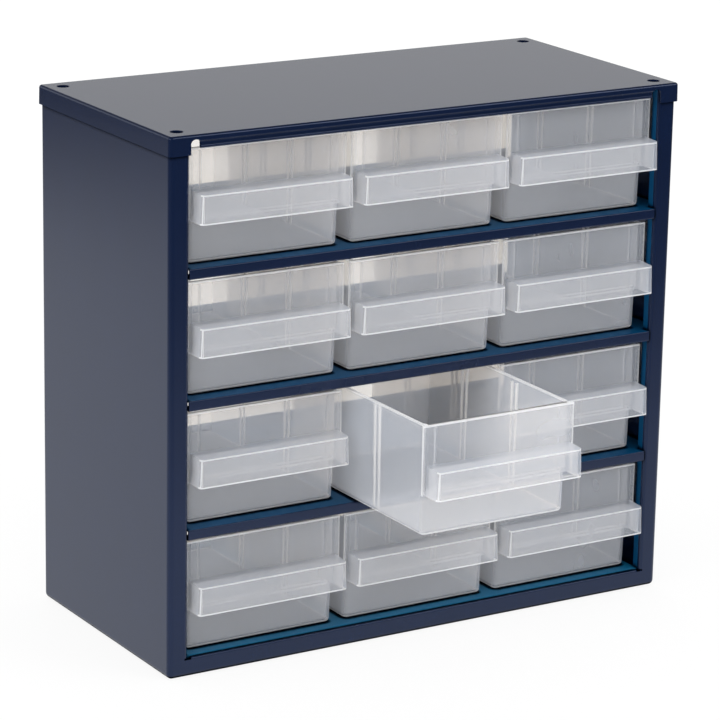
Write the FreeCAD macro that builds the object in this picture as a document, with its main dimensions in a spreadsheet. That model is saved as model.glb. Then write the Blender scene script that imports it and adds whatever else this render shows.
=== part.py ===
"""Parts bin cabinet: a folded steel case with a pressed lid and twelve moulded drawers.

Millimetres. The origin is the centre of the base's underside, +X to the right, +Y to the back, +Z up.
The third drawer from the top in the middle column stands part way out, as it does at rest.
"""
import FreeCAD, Part

import math
import os
import re

import Sketcher

COLUMNS = ("left", "middle", "right")
ROWS = ("bottom", "lower", "upper", "top")
OPEN_DRAWER = ("lower", "middle")

# Driving sizes, each written once
SIZES = {
    # Whole cabinet
    "lid_width": 306.0,
    "lid_depth": 145.0,
    "overall_height": 282.0,
    "cut_overrun": 2.0,
    # Folded steel, common to the case, lid and shelves
    "gauge": 0.8,
    "seam_gap": 0.2,
    "hem_depth": 3.0,
    "hem_round": 0.35,
    # Case
    "case_bend": 3.0,
    "stile_width": 11.0,
    "stile_return": 6.0,
    "stile_bend": 2.0,
    "rail_height": 10.4,
    "relief": 1.0,
    "back_flange": 8.0,
    # Lid
    "lid_skirt": 10.0,
    "lid_corner": 2.0,
    "lid_bend": 1.4,
    "notch_width": 5.5,
    "notch_roof": 2.3,
    "notch_round": 2.5,
    "lip_drop": 7.0,
    "lip_band": 3.0,
    "lip_bead": 1.3,
    "lip_step": 0.4,
    "hole_inset": 9.5,
    "hole_setback": 10.5,
    "hole_radius": 3.2,
    "hole_dish": 0.3,
    # Floor panel and shelves
    "floor_level": 11.0,
    "floor_inset": 2.3,
    "floor_front_drop": 7.0,
    "shelf_lip": 5.6,
    "shelf_bend": 0.7,
    "shelf_side_drop": 6.0,
    "back_upturn": 5.0,
    "fit_gap": 0.3,
    "lip_clear": 2.8,
    "lid_clear": 1.2,
    # Drawers
    "drawer_gap": 3.4,
    "drawer_setback": 5.8,
    "drawer_lift": 0.3,
    "back_clear": 0.9,
    "drawer_pull": 73.4,
    "panel_wing": 1.3,
    "tub_draft": 1.0,
    "tub_corner": 3.0,
    "tub_foot": 2.2,
    "front_step": 3.0,
    "wall": 1.3,
    # Drawer handle
    "hood_reach": 11.8,
    "hood_foot": 22.6,
    "hood_height": 15.8,
    "hood_slope": 0.7,
    "hood_inset": 0.9,
    "hood_flare": 1.2,
    "hood_corner": 2.0,
    # Drawer ribs and stop
    "rib_thick": 0.9,
    "rib_reach": 1.2,
    "rib_gap": 3.4,
    "rib_drop": 2.0,
    "rib_first": 47.0,
    "rib_pitch": 47.0,
    "card_slot": 4.8,
    "card_rib": 1.6,
    "stop_width": 24.0,
    "stop_height": 6.0,
}

# Sizes worked out from the driving ones
WORKED_OUT = {
    "case_width": "lid_width - 2 * gauge - 2 * seam_gap",
    "case_depth": "lid_depth - 2 * gauge - 2 * seam_gap",
    "case_height": "overall_height - gauge",
    "case_front": "-case_depth / 2",
    "case_back": "case_depth / 2",
    "inside_half": "case_width / 2 - gauge",
    "window_half": "case_width / 2 - stile_width",
    "lid_half": "lid_width / 2",
    "lid_front": "-lid_depth / 2",
    "notch_inner": "window_half - notch_width",
    "lip_foot": "lid_skirt - lip_drop",
    "hole_across": "lid_width - 2 * hole_inset",
    "hole_along": "lid_depth - 2 * hole_setback",
    "shelf_half": "window_half - fit_gap",
    "shelf_shoulder": "case_front + stile_return + fit_gap",
    "shelf_back": "case_back - gauge - seam_gap",
    "top_level": "overall_height - lip_drop - lid_clear + lip_clear + shelf_lip",
    "shelf_pitch": f"(top_level - floor_level) / {len(ROWS)}",
    "column_pitch": f"2 * window_half / {len(COLUMNS)}",
    "drawer_face": "case_front + drawer_setback",
    "drawer_height": "shelf_pitch - shelf_lip - lip_clear - drawer_lift",
    "drawer_length": "shelf_back - gauge - back_clear - drawer_face",
    "panel_width": "column_pitch - drawer_gap",
    "tub_width": "panel_width - 2 * panel_wing",
    "hood_width": "tub_width - 2 * hood_inset",
    "tub_spread": "drawer_height * tan(tub_draft)",
    "tub_half": "tub_width / 2 - tub_spread",
    "tub_front": "front_step + hood_foot * tan(tub_draft)",
    "tub_back": "drawer_length - tub_spread",
    "floor_spread": "wall * tan(tub_draft)",
    "hood_half": "hood_width / 2",
    "hood_mouth": "hood_half + hood_flare / 2",
}

ALIASES = set(SIZES) | set(WORKED_OUT)

# How near an edge must lie to a stated place to be picked
NEAR = 1.0e-4

document = FreeCAD.newDocument("parts_bin_cabinet")
sheet = document.addObject("Spreadsheet::Sheet", "sizes")


def fill_sheet():
    """Write the driving sizes as numbers and the others as formulas, each cell with its alias."""
    contents = {name: str(value) for name, value in SIZES.items()}
    contents.update({name: "=" + formula for name, formula in WORKED_OUT.items()})
    for line, (name, content) in enumerate(contents.items(), 1):
        sheet.set(f"A{line}", name)
        sheet.set(f"B{line}", content)
        sheet.setAlias(f"B{line}", name)
    document.recompute()


def bound(formula):
    """Turn a formula in size names into an expression on the sheet's cells."""
    names = "|".join(sorted(ALIASES, key=len, reverse=True))
    return re.sub(rf"\b({names})\b", r"sizes.\1", formula)


def value(name):
    """Read one size from the sheet as a number."""
    return float(sheet.get(name))


def new_body(label):
    """Start a sub-part."""
    body = document.addObject("PartDesign::Body", label)
    body.Label = label
    return body


def place(body, **offsets):
    """Bind the sub-part's place in the cabinet to the sheet."""
    for axis, formula in offsets.items():
        body.setExpression(f"Placement.Base.{axis}", bound(formula))


def rectangle(low_u, high_u, low_v, high_v):
    """Give the corners of a rectangle, anticlockwise."""
    return [(low_u, low_v), (high_u, low_v), (high_u, high_v), (low_u, high_v)]


def draw_loop(drawing, corners):
    """Add a closed loop of lines whose corners are bound to formulas."""
    first = drawing.GeometryCount
    count = len(corners)
    ring = [FreeCAD.Vector(math.cos(math.tau * turn / count), math.sin(math.tau * turn / count), 0)
            for turn in range(count)]
    for index in range(count):
        drawing.addGeometry(Part.LineSegment(ring[index], ring[(index + 1) % count]), False)
    for index, corner in enumerate(corners):
        following = first + (index + 1) % count
        drawing.addConstraint(Sketcher.Constraint("Coincident", first + index, 2, following, 1))
        for kind, start, formula in zip(("DistanceX", "DistanceY"), ring[index], corner):
            number = drawing.addConstraint(Sketcher.Constraint(kind, -1, 1, first + index, 1, start))
            drawing.setExpression(f"Constraints[{number}]", bound(formula))


def draw_circle(drawing, centre, radius):
    """Add a circle whose centre and radius are bound to formulas."""
    ring = drawing.GeometryCount
    drawing.addGeometry(Part.Circle(FreeCAD.Vector(1, 1, 0), FreeCAD.Vector(0, 0, 1), 1), False)
    for kind, formula in zip(("DistanceX", "DistanceY"), centre):
        number = drawing.addConstraint(Sketcher.Constraint(kind, -1, 1, ring, 3, 1.0))
        drawing.setExpression(f"Constraints[{number}]", bound(formula))
    number = drawing.addConstraint(Sketcher.Constraint("Radius", ring, 1.0))
    drawing.setExpression(f"Constraints[{number}]", bound(radius))


def new_sketch(body, plane, level):
    """Attach a sketch to one of the body's origin planes, moved along that plane's normal."""
    drawing = body.newObject("Sketcher::SketchObject", body.Name + "_sketch")
    support = next(item for item in body.Origin.OriginFeatures if item.Role == plane)
    drawing.AttachmentSupport = (support, [""])
    drawing.MapMode = "FlatFace"
    drawing.setExpression("AttachmentOffset.Base.z", bound(level))
    return drawing


def span(body, kind, plane, low, high, loops=(), circles=(), draft="0"):
    """Pad or pocket loops from low to high along the axis that crosses the plane."""
    level = f"-({high})" if plane == "XZ_Plane" else low
    drawing = new_sketch(body, plane, level)
    for corners in loops:
        draw_loop(drawing, corners)
    for centre, radius in circles:
        draw_circle(drawing, centre, radius)
    feature = body.newObject("PartDesign::" + kind, f"{body.Name}_{kind.lower()}")
    feature.Profile = drawing
    feature.Reversed = kind == "Pocket"
    feature.setExpression("Length", bound(f"({high}) - ({low})"))
    feature.setExpression("TaperAngle", bound(draft))
    body.Tip = feature
    return feature


def dress(body, kind, size_name, radius, picks):
    """Fillet or chamfer the edges of the newest feature that the test picks."""
    document.recompute()
    base = body.Tip
    names = [f"Edge{number}" for number, edge in enumerate(base.Shape.Edges, 1) if picks(edge.BoundBox)]
    feature = body.newObject("PartDesign::" + kind, f"{body.Name}_{kind.lower()}")
    feature.Base = (base, names)
    feature.setExpression(size_name, bound(radius))
    body.Tip = feature
    return feature


def fillet(body, radius, picks):
    """Round the edges that the test picks."""
    return dress(body, "Fillet", "Radius", radius, picks)


def at(low, high, place_of_plane):
    """Tell whether a stretch lies in a plane at the stated place."""
    return abs(low - place_of_plane) < NEAR and abs(high - place_of_plane) < NEAR


def on_either(low, high, half):
    """Tell whether a stretch lies in one of two planes at plus and minus half."""
    return at(low, high, half) or at(low, high, -half)


def make_case():
    """Fold the case: two sides, the base, the front stiles and rail, and the back flanges."""
    case = new_body("cabinet_shell")
    outside = rectangle("-case_width / 2", "case_width / 2", "case_front", "case_back")
    inside = rectangle("-inside_half", "inside_half", "case_front + gauge", "case_back - gauge")
    span(case, "Pad", "XY_Plane", "0", "case_height", [outside])
    span(case, "Pocket", "XY_Plane", "gauge", "case_height + cut_overrun", [inside])
    top = value("case_height")
    half = value("inside_half") + NEAR
    fillet(case, "case_bend - gauge", lambda box: box.ZMin < top - NEAR
           and max(abs(box.XMin), abs(box.XMax)) < half)
    fillet(case, "case_bend", lambda box: box.ZMin < top - NEAR
           and max(abs(box.XMin), abs(box.XMax)) > half)
    window = rectangle("-window_half", "window_half", "rail_height", "case_height + cut_overrun")
    span(case, "Pocket", "XZ_Plane", "case_front - cut_overrun", "case_front + gauge", [window])
    slit = ("window_half - stile_bend", "window_half + stile_bend + seam_gap")
    reliefs = [rectangle(*slit, "rail_height - relief", "rail_height"),
               rectangle(f"-({slit[1]})", f"-({slit[0]})", "rail_height - relief", "rail_height")]
    span(case, "Pocket", "XZ_Plane", "case_front - cut_overrun", "case_front + gauge", reliefs)
    back_half = "case_width / 2 - back_flange"
    view = rectangle(f"-({back_half})", back_half, "back_flange", "case_height + cut_overrun")
    span(case, "Pocket", "XZ_Plane", "case_back - gauge", "case_back + cut_overrun", [view])
    returns = [rectangle("window_half", "window_half + gauge", "case_front", "case_front + stile_return"),
               rectangle("-window_half - gauge", "-window_half", "case_front",
                         "case_front + stile_return")]
    span(case, "Pad", "XY_Plane", "rail_height", "case_height", returns)
    front = value("case_front")
    edge = value("window_half")
    fillet(case, "stile_bend", lambda box: on_either(box.XMin, box.XMax, edge)
           and at(box.YMin, box.YMax, front) and box.ZLength > value("floor_level"))
    hem = rectangle("-window_half", "window_half", "case_front + gauge", "case_front + 2 * gauge")
    span(case, "Pad", "XY_Plane", "rail_height - hem_depth", "rail_height", [hem])
    return case


def make_lid():
    """Press the lid: a top with a skirt, two front notches, a beaded lip and four locating holes."""
    lid = new_body("lid")
    outside = rectangle("-lid_half", "lid_half", "lid_front", "-lid_front")
    inside = rectangle("-lid_half + gauge", "lid_half - gauge", "lid_front + gauge", "-lid_front - gauge")
    half = value("lid_half")
    front = value("lid_front")
    top = value("lid_skirt")
    gauge = value("gauge")
    span(lid, "Pad", "XY_Plane", "0", "lid_skirt", [outside])
    fillet(lid, "lid_corner", lambda box: on_either(box.XMin, box.XMax, half)
           and on_either(box.YMin, box.YMax, front))
    fillet(lid, "lid_bend", lambda box: at(box.ZMin, box.ZMax, top))
    span(lid, "Pocket", "XY_Plane", "-cut_overrun", "lid_skirt - gauge", [inside])
    fillet(lid, "lid_corner - gauge", lambda box: on_either(box.XMin, box.XMax, half - gauge)
           and on_either(box.YMin, box.YMax, front + gauge))
    notches = [rectangle("notch_inner", "window_half", "-cut_overrun", "lid_skirt - notch_roof"),
               rectangle("-window_half", "-notch_inner", "-cut_overrun", "lid_skirt - notch_roof")]
    span(lid, "Pocket", "XZ_Plane", "lid_front - cut_overrun", "lid_front + gauge", notches)
    roof = top - value("notch_roof")
    fillet(lid, "notch_round", lambda box: at(box.ZMin, box.ZMax, roof)
           and abs(box.YLength - gauge) < NEAR)
    below = rectangle("-notch_inner", "notch_inner", "-cut_overrun", "lip_foot")
    span(lid, "Pocket", "XZ_Plane", "lid_front - cut_overrun", "lid_front + gauge", [below])
    joggle = rectangle("-notch_inner", "notch_inner", "lip_foot + lip_bead", "lid_skirt - lip_band")
    span(lid, "Pocket", "XZ_Plane", "lid_front - cut_overrun", "lid_front + lip_step", [joggle])
    hem = rectangle("-notch_inner", "notch_inner", "lid_front + gauge", "lid_front + 2 * gauge")
    span(lid, "Pad", "XY_Plane", "lip_foot", "lip_foot + hem_depth", [hem])
    foot = value("lip_foot")
    reach = value("notch_inner")
    fillet(lid, "hem_round", lambda box: at(box.ZMin, box.ZMax, foot) and box.XLength > reach)
    centres = [(f"{side} * hole_across / 2", f"{end} * hole_along / 2")
               for side in ("-1", "1") for end in ("-1", "1")]
    span(lid, "Pocket", "XY_Plane", "lid_skirt - 2 * gauge", "lid_skirt + cut_overrun",
         circles=[(centre, "hole_radius") for centre in centres])
    rim = 2 * value("hole_radius")
    dress(lid, "Chamfer", "Size", "hole_dish", lambda box: at(box.ZMin, box.ZMax, top)
          and abs(box.XLength - rim) < NEAR)
    place(lid, z="overall_height - lid_skirt")
    return lid


def make_floor_panel():
    """Fold the floor panel: a tray that stands on the base behind the rail."""
    panel = new_body("floor_panel")
    front = "case_front + floor_inset"
    top = rectangle("-shelf_half", "shelf_half", front, "shelf_back")
    span(panel, "Pad", "XY_Plane", "floor_level - gauge", "floor_level", [top])
    fold = rectangle("-shelf_half", "shelf_half", front, f"{front} + gauge")
    span(panel, "Pad", "XY_Plane", "floor_level - floor_front_drop", "floor_level", [fold])
    upturn = rectangle("-shelf_half", "shelf_half", "shelf_back - gauge", "shelf_back")
    span(panel, "Pad", "XY_Plane", "floor_level - gauge", "floor_level + back_upturn", [upturn])
    ends = ("case_front + gauge + case_bend", "case_back - gauge - case_bend")
    legs = [rectangle("shelf_half - gauge", "shelf_half", *ends),
            rectangle("-shelf_half", "-shelf_half + gauge", *ends)]
    span(panel, "Pad", "XY_Plane", "gauge", "floor_level", legs)
    level = value("floor_level")
    edge = value("case_front") + value("floor_inset")
    fillet(panel, "shelf_bend", lambda box: at(box.ZMin, box.ZMax, level)
           and at(box.YMin, box.YMax, edge))
    return panel


def make_shelf(label, row):
    """Fold a shelf: a hemmed front lip, sides turned down against the case, and a low back upturn."""
    shelf = new_body(label)
    chamfer_x = "inside_half - case_bend"
    chamfer_y = "shelf_back - case_bend"
    right = [("shelf_half", "case_front"), ("shelf_half", "shelf_shoulder"),
             ("inside_half", "shelf_shoulder"), ("inside_half", chamfer_y), (chamfer_x, "shelf_back")]
    left = [(f"-({across})", along) for across, along in reversed(right)]
    span(shelf, "Pad", "XY_Plane", "-gauge", "0", [right + left])
    lip = rectangle("-shelf_half", "shelf_half", "case_front", "case_front + gauge")
    span(shelf, "Pad", "XY_Plane", "-shelf_lip", "0", [lip])
    hem = rectangle("-shelf_half", "shelf_half", "case_front", "case_front + 2 * gauge")
    span(shelf, "Pad", "XY_Plane", "-shelf_lip", "-shelf_lip + hem_depth", [hem])
    sides = [rectangle("inside_half - gauge", "inside_half", "shelf_shoulder", chamfer_y),
             rectangle("-inside_half", "-inside_half + gauge", "shelf_shoulder", chamfer_y)]
    span(shelf, "Pad", "XY_Plane", "-shelf_side_drop", "0", sides)
    upturn = rectangle("-shelf_half", "shelf_half", "shelf_back - gauge", "shelf_back")
    span(shelf, "Pad", "XY_Plane", "-gauge", "back_upturn", [upturn])
    front = value("case_front")
    fillet(shelf, "shelf_bend", lambda box: at(box.ZMin, box.ZMax, 0) and at(box.YMin, box.YMax, front))
    foot = -value("shelf_lip")
    reach = value("shelf_half")
    fillet(shelf, "hem_round", lambda box: at(box.ZMin, box.ZMax, foot) and box.XLength > reach)
    place(shelf, z=f"floor_level + shelf_pitch * {row}")
    return shelf


def mould_tub(drawer):
    """Mould the drafted tub with its stepped front wall and the wider front panel."""
    outline = rectangle("-tub_half", "tub_half", "tub_front", "tub_back")
    span(drawer, "Pad", "XY_Plane", "0", "drawer_height", [outline], draft="tub_draft")
    height = value("drawer_height")
    fillet(drawer, "tub_corner", lambda box: box.ZLength > height / 2)
    fillet(drawer, "tub_foot", lambda box: at(box.ZMin, box.ZMax, 0))
    link = rectangle("-tub_half - tub_spread / 2", "tub_half + tub_spread / 2", "0", "tub_front + tub_corner")
    span(drawer, "Pad", "XY_Plane", "hood_foot", "drawer_height", [link])
    panel = rectangle("-panel_width / 2", "panel_width / 2", "0", "wall")
    span(drawer, "Pad", "XY_Plane", "hood_foot", "drawer_height", [panel])


def mould_hood(drawer):
    """Add the handle: a hood with a sloping top, closed ends and an open underside."""
    top = "hood_foot + hood_height"
    face = [("-hood_mouth", "hood_foot"), ("hood_mouth", "hood_foot"),
            ("hood_half", top), ("-hood_half", top)]
    span(drawer, "Pad", "XZ_Plane", "-hood_reach", "0", [face])
    slope = [("-hood_reach - cut_overrun", f"{top} - hood_slope * (1 + cut_overrun / hood_reach)"),
             ("0", top), ("0", f"{top} + cut_overrun"),
             ("-hood_reach - cut_overrun", f"{top} + cut_overrun")]
    span(drawer, "Pocket", "YZ_Plane", "-panel_width / 2", "panel_width / 2", [slope])
    reach = value("hood_reach")
    fillet(drawer, "hood_corner", lambda box: at(box.YMin, box.YMax, -reach)
           and box.ZLength > value("hood_height") / 2)


def hollow_out(drawer):
    """Cut the tub's inside, the room behind the front panel and the finger room under the hood."""
    inside = rectangle("-tub_half + wall - floor_spread", "tub_half - wall + floor_spread",
                       "tub_front + wall - floor_spread", "tub_back - wall + floor_spread")
    span(drawer, "Pocket", "XY_Plane", "wall", "drawer_height", [inside], draft="tub_draft")
    room_half = "tub_half - wall"
    room = rectangle(f"-({room_half})", room_half, "wall", "tub_front + wall")
    span(drawer, "Pocket", "XY_Plane", "hood_foot + wall", "drawer_height", [room])
    fingers = rectangle("-hood_half + wall", "hood_half - wall", "-hood_reach + wall", "0")
    span(drawer, "Pocket", "XY_Plane", "hood_foot - cut_overrun",
         "hood_foot + hood_height - hood_slope - wall", [fingers])


def add_ribs(drawer):
    """Add the paired ribs that take a divider, the two card ribs and the stop on the back wall."""
    root = "tub_half + floor_spread"
    loops = []
    for pair in range(2):
        for member in range(2):
            near_edge = f"rib_first + rib_pitch * {pair} + (rib_thick + rib_gap) * {member}"
            far_edge = f"{near_edge} + rib_thick"
            loops.append(rectangle(f"{root} - wall - rib_reach", root, near_edge, far_edge))
            loops.append(rectangle(f"-({root})", f"-({root} - wall - rib_reach)", near_edge, far_edge))
    span(drawer, "Pad", "XY_Plane", "wall", "drawer_height - rib_drop", loops)
    card = "tub_half - wall - card_slot"
    card_ribs = [rectangle(f"{card} - rib_thick", card, "0", "wall + card_rib"),
                 rectangle(f"-({card})", f"-({card} - rib_thick)", "0", "wall + card_rib")]
    span(drawer, "Pad", "XY_Plane", "hood_foot + wall", "drawer_height - rib_drop", card_ribs)
    stop = rectangle("-stop_width / 2", "stop_width / 2", "drawer_length - wall", "drawer_length")
    span(drawer, "Pad", "XY_Plane", "drawer_height - stop_height", "drawer_height + stop_height", [stop])


def make_drawer_mould():
    """Mould the drawer that all twelve are cast from, its front at y = 0 and its underside at z = 0."""
    drawer = new_body("drawer_mould")
    mould_tub(drawer)
    mould_hood(drawer)
    hollow_out(drawer)
    add_ribs(drawer)
    return drawer


def make_drawer(mould, label, row, column, pull):
    """Cast a drawer from the mould and stand it on its shelf, drawn out by pull."""
    drawer = new_body(label)
    cast = document.addObject("PartDesign::FeatureBase", f"{label}_cast")
    drawer.Group = [cast]
    cast.BaseFeature = mould
    drawer.Tip = cast
    place(drawer, x=f"column_pitch * {column - 1}", y=f"drawer_face - {pull}",
          z=f"floor_level + shelf_pitch * {row} + drawer_lift")
    return drawer


def make_all():
    """Make every sub-part of the cabinet."""
    fill_sheet()
    pieces = [make_case(), make_lid(), make_floor_panel()]
    for row in range(1, len(ROWS)):
        pieces.append(make_shelf(f"{ROWS[row]}_shelf", row))
    mould = make_drawer_mould()
    for row, row_name in enumerate(ROWS):
        for column, column_name in enumerate(COLUMNS):
            pull = "drawer_pull" if (row_name, column_name) == OPEN_DRAWER else "0"
            pieces.append(make_drawer(mould, f"drawer_{row_name}_{column_name}", row, column, pull))
    return pieces


def check_and_export(pieces):
    """Stop at a failed object or a bad shape, then write each sub-part's file."""
    document.recompute()
    for item in document.Objects:
        if "Invalid" in item.State or "Error" in item.State:
            raise RuntimeError(f"{item.Label} failed: {item.State}")
    os.makedirs("parts", exist_ok=True)
    for piece in pieces:
        shape = piece.Shape
        if shape.isNull() or not shape.isValid() or len(shape.Solids) != 1:
            raise RuntimeError(f"{piece.Label} has a bad shape")
        shape.exportStep(f"parts/{piece.Label}.step")
        print(f"{piece.Label}: {shape.Volume:.0f} mm3, {len(shape.Faces)} faces")


check_and_export(make_all())
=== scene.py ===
"""Looks of the parts bin cabinet: navy powder coated steel and milky moulded drawers.

Metres, in the frame's axes: +X to the right, +Y to the back, +Z up. Each piece takes its place and its
overall size from the frame, and its small sizes are fields of the class that models it. NEAR is how
close two places count as one, and MOSTLY, SQUARELY, UPRIGHT and HARDLY are how far a unit vector points
along an axis.
"""

import logging
import math
from collections.abc import Callable, Iterator
from contextlib import contextmanager
from dataclasses import dataclass
from enum import Enum

import bmesh
import bpy
from mathutils import Matrix, Vector


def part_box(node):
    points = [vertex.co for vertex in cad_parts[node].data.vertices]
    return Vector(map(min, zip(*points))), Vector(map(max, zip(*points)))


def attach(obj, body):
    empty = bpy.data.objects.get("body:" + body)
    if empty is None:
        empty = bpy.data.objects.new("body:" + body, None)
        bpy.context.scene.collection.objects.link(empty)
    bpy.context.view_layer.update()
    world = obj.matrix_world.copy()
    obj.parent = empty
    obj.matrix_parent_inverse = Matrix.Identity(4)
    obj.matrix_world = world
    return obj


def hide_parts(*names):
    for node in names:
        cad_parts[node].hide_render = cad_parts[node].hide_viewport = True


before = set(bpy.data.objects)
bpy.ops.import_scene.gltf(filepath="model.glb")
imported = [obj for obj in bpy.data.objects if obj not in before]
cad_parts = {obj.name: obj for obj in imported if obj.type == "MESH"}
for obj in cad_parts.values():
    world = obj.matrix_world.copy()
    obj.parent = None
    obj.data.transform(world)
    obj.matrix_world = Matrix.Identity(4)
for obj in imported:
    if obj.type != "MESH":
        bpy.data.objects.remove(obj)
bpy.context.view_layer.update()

MM = 0.001
NEAR = 0.02 * MM
MOSTLY = 0.5
SQUARELY = 0.7
UPRIGHT = 0.9
HARDLY = 0.1
WHITE = (1.0, 1.0, 1.0, 1.0)

Piece = bpy.types.Object
Material = bpy.types.Material
Colour = tuple[float, float, float]
Point = tuple[float, float, float]
Span = tuple[float, float]
Test = Callable[[Vector, Vector], bool]

log = logging.getLogger("cabinet")


def meets(place: float, *levels: float) -> bool:
    """Tell whether a place along an axis is at one of the levels."""
    return any(abs(place - level) < NEAR for level in levels)


class Slot(Enum):
    """Finishes that the record knows."""

    STEEL = "painted_steel"
    PLASTIC = "milky_plastic"


class Element(Enum):
    """What a hand picks in edit mode."""

    CORNER = "VERT"
    EDGE = "EDGE"
    FACE = "FACE"


class Axis(Enum):
    """The frame's three directions."""

    X = (1.0, 0.0, 0.0)
    Y = (0.0, 1.0, 0.0)
    Z = (0.0, 0.0, 1.0)

    def along(self, distance: float) -> Vector:
        """Give the vector of that length in this direction."""
        return Vector(self.value) * distance


class Bench:
    """Operators as a hand uses them, on one piece at a time."""

    @staticmethod
    def focus(piece: Piece) -> None:
        """Select a piece alone and make it the active one.

        Args:
            piece: The piece to work on.
        """
        bpy.ops.object.select_all(action="DESELECT")
        piece.select_set(True)
        bpy.context.view_layer.objects.active = piece

    @staticmethod
    def block(name: str, low: Vector | Point, high: Vector | Point) -> Piece:
        """Add a block between two corners.

        Args:
            name: What the piece is called.
            low: Its lowest corner.
            high: Its highest corner.

        Returns:
            The block, with its place in its mesh.
        """
        low, high = Vector(low), Vector(high)
        bpy.ops.object.select_all(action="DESELECT")
        bpy.ops.mesh.primitive_cube_add(size=1, location=(low + high) / 2, scale=high - low)
        piece = bpy.context.object
        piece.name = name
        piece.data.name = name
        bpy.ops.object.transform_apply(location=True, rotation=True, scale=True)
        return piece

    @staticmethod
    def sided_block(name: str, side: int, low: Point, high: Point) -> Piece:
        """Add a block between two corners, or its mirror image where the side is -1."""
        ends = sorted((side * low[0], side * high[0]))
        return Bench.block(name, (ends[0], *low[1:]), (ends[1], *high[1:]))

    @staticmethod
    def drum(name: str, centre: Vector, radius: float, height: float, sides: int = 48) -> Piece:
        """Add an upright cylinder about a centre.

        Args:
            name: What the piece is called.
            centre: The middle of its axis.
            radius: Its radius.
            height: Its full height.
            sides: How many flat sides it has.

        Returns:
            The cylinder, with its place in its mesh.
        """
        bpy.ops.object.select_all(action="DESELECT")
        bpy.ops.mesh.primitive_cylinder_add(vertices=sides, radius=radius, depth=height, location=centre)
        piece = bpy.context.object
        piece.name = name
        bpy.ops.object.transform_apply(location=True, rotation=True, scale=True)
        return piece

    @staticmethod
    @contextmanager
    def editing(piece: Piece, element: Element) -> Iterator[None]:
        """Hold a piece in edit mode with nothing selected.

        Args:
            piece: The piece to edit.
            element: What is picked in it.

        Returns:
            What a with block holds open.
        """
        Bench.focus(piece)
        bpy.ops.object.mode_set(mode="EDIT")
        bpy.ops.mesh.select_mode(type=element.value)
        bpy.ops.mesh.select_all(action="DESELECT")
        yield
        bpy.ops.object.mode_set(mode="OBJECT")

    @staticmethod
    def pick(piece: Piece, element: Element, test: Test) -> int:
        """Select what passes a test, in edit mode.

        Args:
            piece: The piece in edit mode.
            element: What is picked.
            test: Takes the middle, and the normal of a face or corner or the direction of an edge.

        Returns:
            How many were picked.
        """
        mesh = bmesh.from_edit_mesh(piece.data)
        mesh.normal_update()
        count = 0
        if element is Element.FACE:
            for face in mesh.faces:
                face.select_set(test(face.calc_center_median(), face.normal))
                count += face.select
        elif element is Element.EDGE:
            for edge in mesh.edges:
                start, end = (corner.co for corner in edge.verts)
                edge.select_set(test((start + end) / 2, (end - start).normalized()))
                count += edge.select
        else:
            for corner in mesh.verts:
                corner.select_set(test(corner.co, corner.normal))
                count += corner.select
        mesh.select_flush_mode()
        bmesh.update_edit_mesh(piece.data)
        return count

    @staticmethod
    def remove_faces(piece: Piece, test: Test) -> None:
        """Delete the faces that pass a test, and leave their edges open.

        Args:
            piece: The piece to open.
            test: Picks the faces that go.
        """
        with Bench.editing(piece, Element.FACE):
            if Bench.pick(piece, Element.FACE, test):
                bpy.ops.mesh.delete(type="FACE")

    @staticmethod
    def slice_faces(piece: Piece, test: Test, axis: Axis, *levels: float) -> None:
        """Score the faces that pass a test with planes across an axis.

        Args:
            piece: The piece to score.
            test: Picks the faces to score.
            axis: The direction that the planes cross.
            levels: Where each plane stands along the axis.
        """
        for level in levels:
            with Bench.editing(piece, Element.FACE):
                if Bench.pick(piece, Element.FACE, test):
                    bpy.ops.mesh.bisect(plane_co=axis.along(level), plane_no=axis.value)

    @staticmethod
    def fold(piece: Piece, test: Test, *moves: Vector) -> None:
        """Draw new flanges out of the edges that pass a test, one after another.

        Args:
            piece: The piece to fold.
            test: Picks the edges to start from.
            moves: Each flange's way from the edge before it.
        """
        with Bench.editing(piece, Element.EDGE):
            Bench.pick(piece, Element.EDGE, test)
            for move in moves:
                bpy.ops.mesh.extrude_region_move(TRANSFORM_OT_translate={"value": move})

    @staticmethod
    def shift(piece: Piece, test: Test, move: Vector) -> None:
        """Move the corners that pass a test.

        Args:
            piece: The piece to change.
            test: Picks the corners.
            move: How far they move.
        """
        with Bench.editing(piece, Element.CORNER):
            Bench.pick(piece, Element.CORNER, test)
            bpy.ops.transform.translate(value=move)

    @staticmethod
    def spread(piece: Piece, test: Test, factor: Vector, centre: Vector) -> None:
        """Scale the corners that pass a test about a centre.

        Args:
            piece: The piece to change.
            test: Picks the corners.
            factor: The scale along each axis.
            centre: The point that stays in its place.
        """
        with Bench.editing(piece, Element.CORNER):
            Bench.pick(piece, Element.CORNER, test)
            bpy.ops.transform.resize(value=factor, center_override=centre)

    @staticmethod
    def round_edges(piece: Piece, test: Test, radius: float, steps: int = 5) -> None:
        """Round the edges that pass a test.

        Args:
            piece: The piece to round.
            test: Picks the edges.
            radius: The radius across a square corner.
            steps: How many flats make the round.
        """
        with Bench.editing(piece, Element.EDGE):
            if Bench.pick(piece, Element.EDGE, test):
                bpy.ops.mesh.bevel(offset=radius, offset_type="OFFSET", segments=steps, affect="EDGES",
                                   clamp_overlap=True)

    @staticmethod
    def tidy(piece: Piece) -> None:
        """Merge doubled corners and turn every face outwards.

        Args:
            piece: The piece to mend.
        """
        with Bench.editing(piece, Element.FACE):
            bpy.ops.mesh.select_all(action="SELECT")
            bpy.ops.mesh.remove_doubles(threshold=NEAR / 4)
            bpy.ops.mesh.normals_make_consistent(inside=False)

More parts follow.
